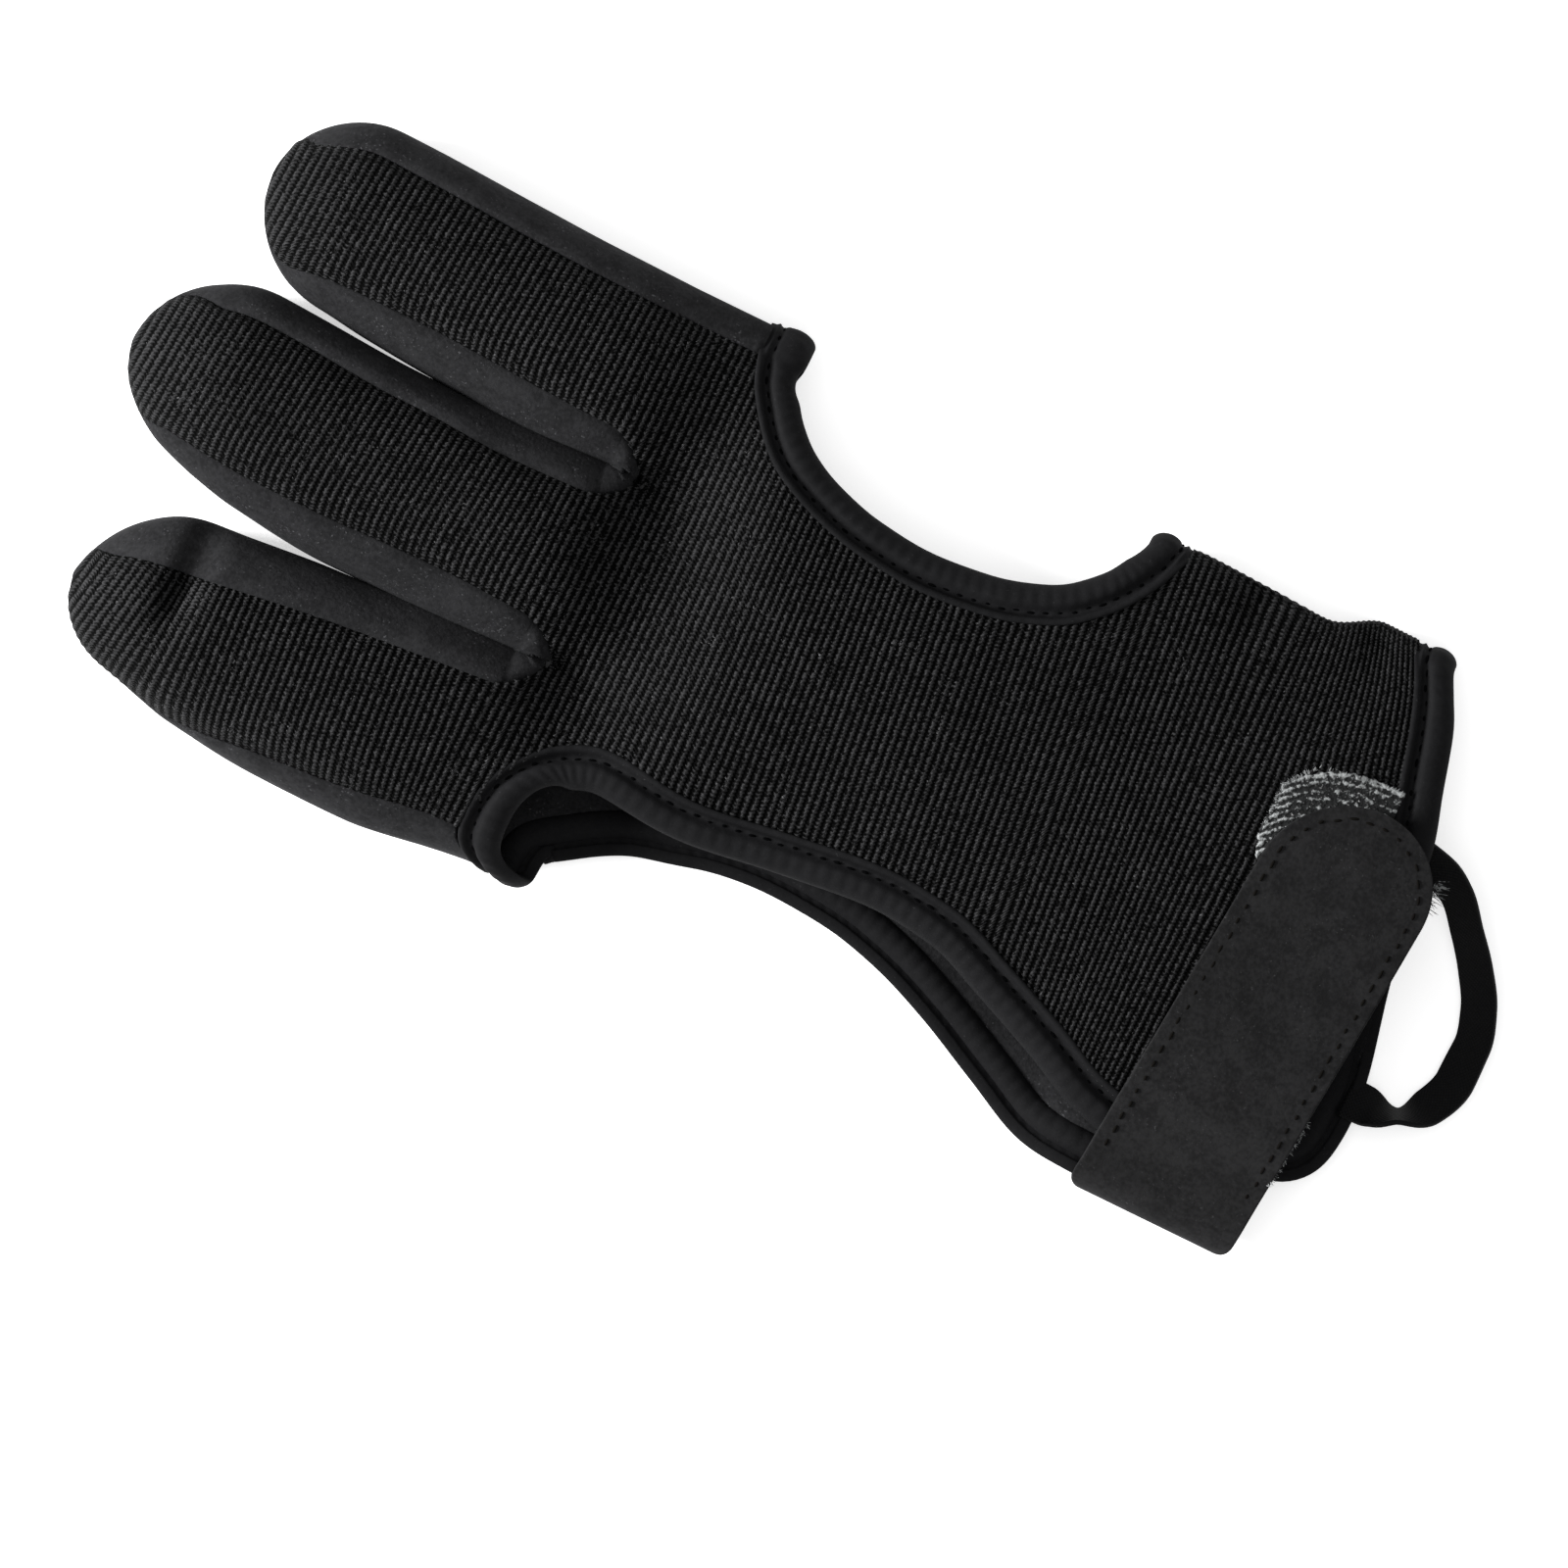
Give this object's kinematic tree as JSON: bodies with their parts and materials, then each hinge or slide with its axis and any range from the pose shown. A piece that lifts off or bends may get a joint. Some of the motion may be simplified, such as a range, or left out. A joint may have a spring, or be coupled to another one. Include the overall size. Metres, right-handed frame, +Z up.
{
  "type": "archery_glove",
  "caption": "Black three-finger archery glove lying palm down, with a ribbed knit back, taped thumb and side openings, a hook-and-loop wrist closure and a ribbon pull loop",
  "frame": {"origin": "middle of the base, on the surface it lies on", "axes": "X from the fingertips to the wrist, Y to the thumb side, Z up out of the back of the hand"},
  "size_m": [0.2136, 0.0904, 0.0175],
  "materials": {
    "rib_knit": "matte",
    "flannel": "matte",
    "binding": "satin",
    "suede": "matte",
    "loop_pile": "matte",
    "hook_tape": "matte",
    "ribbon": "satin"
  },
  "bodies": {
    "root": {"ribbed_back": "rib_knit", "palm_panel": "flannel", "gusset_ab": "flannel", "gusset_bc": "flannel", "side_strip_a": "flannel", "side_strip_c": "flannel", "thumb_binding": "binding", "side_binding": "binding", "wrist_binding": "binding", "closure_strap": "suede", "loop_patch": "loop_pile", "hook_patch": "hook_tape", "pull_loop": "ribbon"}
  },
  "joints": []
}
